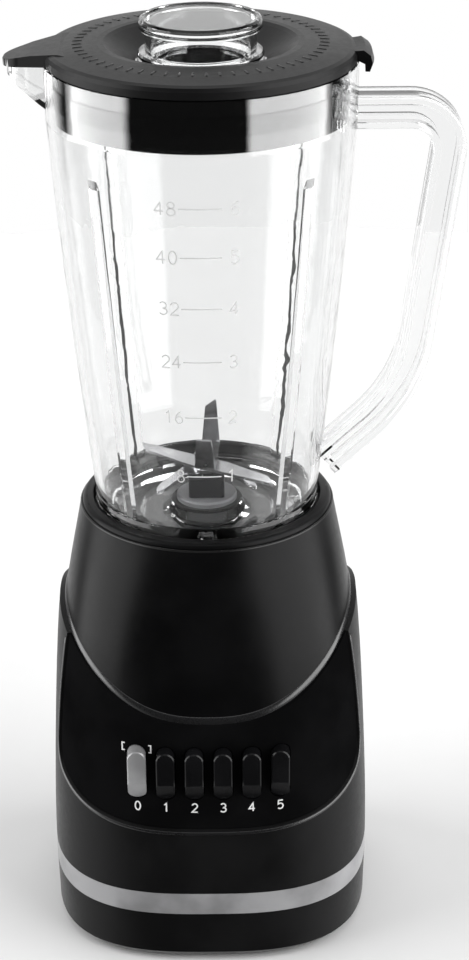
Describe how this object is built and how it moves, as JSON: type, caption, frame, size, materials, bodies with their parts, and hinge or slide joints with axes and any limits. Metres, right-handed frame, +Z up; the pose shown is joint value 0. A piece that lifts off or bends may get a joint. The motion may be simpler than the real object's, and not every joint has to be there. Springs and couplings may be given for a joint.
{
  "type": "countertop blender",
  "caption": "Countertop blender: squared black motor base with a row of push buttons, clear tapered jar with handle and spout, black lid and clear cap.",
  "frame": {"origin": "on the table, under the middle of the motor base, where the axis of the jar and motor meets it", "axes": "+Z up along the jar's axis, -Y towards the control panel's front, +X towards the jar's handle, -X towards its spout"},
  "size_m": [0.1925, 0.1501, 0.417],
  "materials": {
    "housing_black": "fine satin moulded plastic",
    "panel_black": "glossy moulded plastic",
    "band_silver": "satin silver-grey paint on plastic",
    "button_black": "glossy moulded plastic",
    "button_silver": "satin silver-grey paint on plastic",
    "foot_rubber": "soft black rubber",
    "gland_rubber": "firm black rubber",
    "seal_rubber": "soft dark grey rubber",
    "screw_steel": "zinc-plated steel",
    "spring_steel": "bright spring steel",
    "inner_plastic": "glass-filled nylon",
    "contact_brass": "stamped brass",
    "motor_iron": "stacked electrical steel, lacquered",
    "winding_copper": "lacquered copper wire, taken as brass",
    "bracket_aluminium": "die-cast aluminium",
    "shaft_steel": "ground steel",
    "bush_bronze": "sintered bronze, taken as brass",
    "brush_carbon": "pressed carbon, taken as a plastic",
    "fan_plastic": "moulded nylon",
    "coupling_plastic": "tough moulded nylon",
    "jar_clear": "clear polycarbonate, polished",
    "bearing_plastic": "moulded nylon",
    "blade_steel": "polished stainless steel",
    "lid_black": "satin top and glossy skirt",
    "cap_clear": "clear styrene, polished"
  },
  "bodies": {
    "base": {"rubber_feet": "foot_rubber", "bottom_cover": "housing_black", "trim_band": "band_silver", "housing_screws": "screw_steel", "lower_housing": "housing_black", "cord_gland": "gland_rubber", "upper_housing": "housing_black", "control_panel": "panel_black", "switch_frame": "inner_plastic", "panel_screws": "screw_steel", "switch_contacts": "contact_brass", "stator_core": "motor_iron", "field_coils": "winding_copper", "upper_motor_bracket": "bracket_aluminium", "lower_motor_bracket": "bracket_aluminium", "motor_bushings": "bush_bronze", "motor_screws": "screw_steel", "motor_mounts": "foot_rubber", "motor_mount_screws": "screw_steel", "brush_holders": "inner_plastic", "carbon_brushes": "brush_carbon", "brush_springs": "spring_steel", "button_spring_0": "spring_steel", "button_spring_1": "spring_steel", "button_spring_2": "spring_steel", "button_spring_3": "spring_steel", "button_spring_4": "spring_steel", "button_spring_5": "spring_steel"},
    "armature": {"armature_shaft": "shaft_steel", "armature_core": "motor_iron", "armature_windings": "winding_copper", "commutator": "winding_copper", "cooling_fan": "fan_plastic", "shaft_slinger": "seal_rubber", "drive_coupling": "coupling_plastic"},
    "jar_unit": {"jar": "jar_clear", "jar_gasket": "seal_rubber", "blade_bearing_housing": "bearing_plastic", "blade_bushings": "bush_bronze", "blade_lock_nut": "bearing_plastic"},
    "blade_unit": {"blade_shaft": "shaft_steel", "blade_hub": "bearing_plastic", "lower_blade": "blade_steel", "blade_spacer": "blade_steel", "side_blade": "blade_steel", "upright_blade": "blade_steel", "blade_cap_nut": "blade_steel", "jar_coupling": "coupling_plastic"},
    "lid_unit": {"lid": "lid_black", "lid_seal": "seal_rubber"},
    "cap_unit": {"measuring_cap": "cap_clear"},
    "latch_unit": {"latch_bar": "inner_plastic"},
    "off_button_unit": {"off_button": "button_silver"},
    "speed_button_1_unit": {"speed_button_1": "button_black"},
    "speed_button_2_unit": {"speed_button_2": "button_black"},
    "speed_button_3_unit": {"speed_button_3": "button_black"},
    "speed_button_4_unit": {"speed_button_4": "button_black"},
    "speed_button_5_unit": {"speed_button_5": "button_black"}
  },
  "joints": [
    {"name": "jar_lift", "type": "slide", "parent": "base", "child": "jar_unit", "axis": [0, 0, 1], "range_m": [0, 0.12]},
    {"name": "lid_lift", "type": "slide", "parent": "jar_unit", "child": "lid_unit", "axis": [0, 0, 1], "range_m": [0, 0.08]},
    {"name": "cap_lift", "type": "slide", "parent": "lid_unit", "child": "cap_unit", "axis": [0, 0, 1], "range_m": [0, 0.06]},
    {"name": "motor_spin", "type": "hinge", "parent": "base", "child": "armature", "pos_m": [0, 0, 0.12], "axis": [0, 0, 1], "continuous": true},
    {"name": "blade_spin", "type": "hinge", "parent": "jar_unit", "child": "blade_unit", "pos_m": [0, 0, 0.2], "axis": [0, 0, 1], "continuous": true},
    {"name": "off_button_press", "type": "slide", "parent": "base", "child": "off_button_unit", "axis": [0, 1, 0], "range_m": [0, 0.0045], "stiffness_N_per_m": 600, "deforming": ["button_spring_0"]},
    {"name": "speed_button_1_press", "type": "slide", "parent": "base", "child": "speed_button_1_unit", "axis": [0, 1, 0], "range_m": [0, 0.0045], "stiffness_N_per_m": 600, "deforming": ["button_spring_1"]},
    {"name": "speed_button_2_press", "type": "slide", "parent": "base", "child": "speed_button_2_unit", "axis": [0, 1, 0], "range_m": [0, 0.0045], "stiffness_N_per_m": 600, "deforming": ["button_spring_2"]},
    {"name": "speed_button_3_press", "type": "slide", "parent": "base", "child": "speed_button_3_unit", "axis": [0, 1, 0], "range_m": [0, 0.0045], "stiffness_N_per_m": 600, "deforming": ["button_spring_3"]},
    {"name": "speed_button_4_press", "type": "slide", "parent": "base", "child": "speed_button_4_unit", "axis": [0, 1, 0], "range_m": [0, 0.0045], "stiffness_N_per_m": 600, "deforming": ["button_spring_4"]},
    {"name": "speed_button_5_press", "type": "slide", "parent": "base", "child": "speed_button_5_unit", "axis": [0, 1, 0], "range_m": [0, 0.0045], "stiffness_N_per_m": 600, "deforming": ["button_spring_5"]},
    {"name": "latch_slide", "type": "slide", "parent": "base", "child": "latch_unit", "axis": [1, 0, 0], "range_m": [0, 0.003], "stiffness_N_per_m": 300}
  ],
  "couplings": [
    {"joint": "blade_spin", "follows": "motor_spin", "ratio": 1}
  ]
}
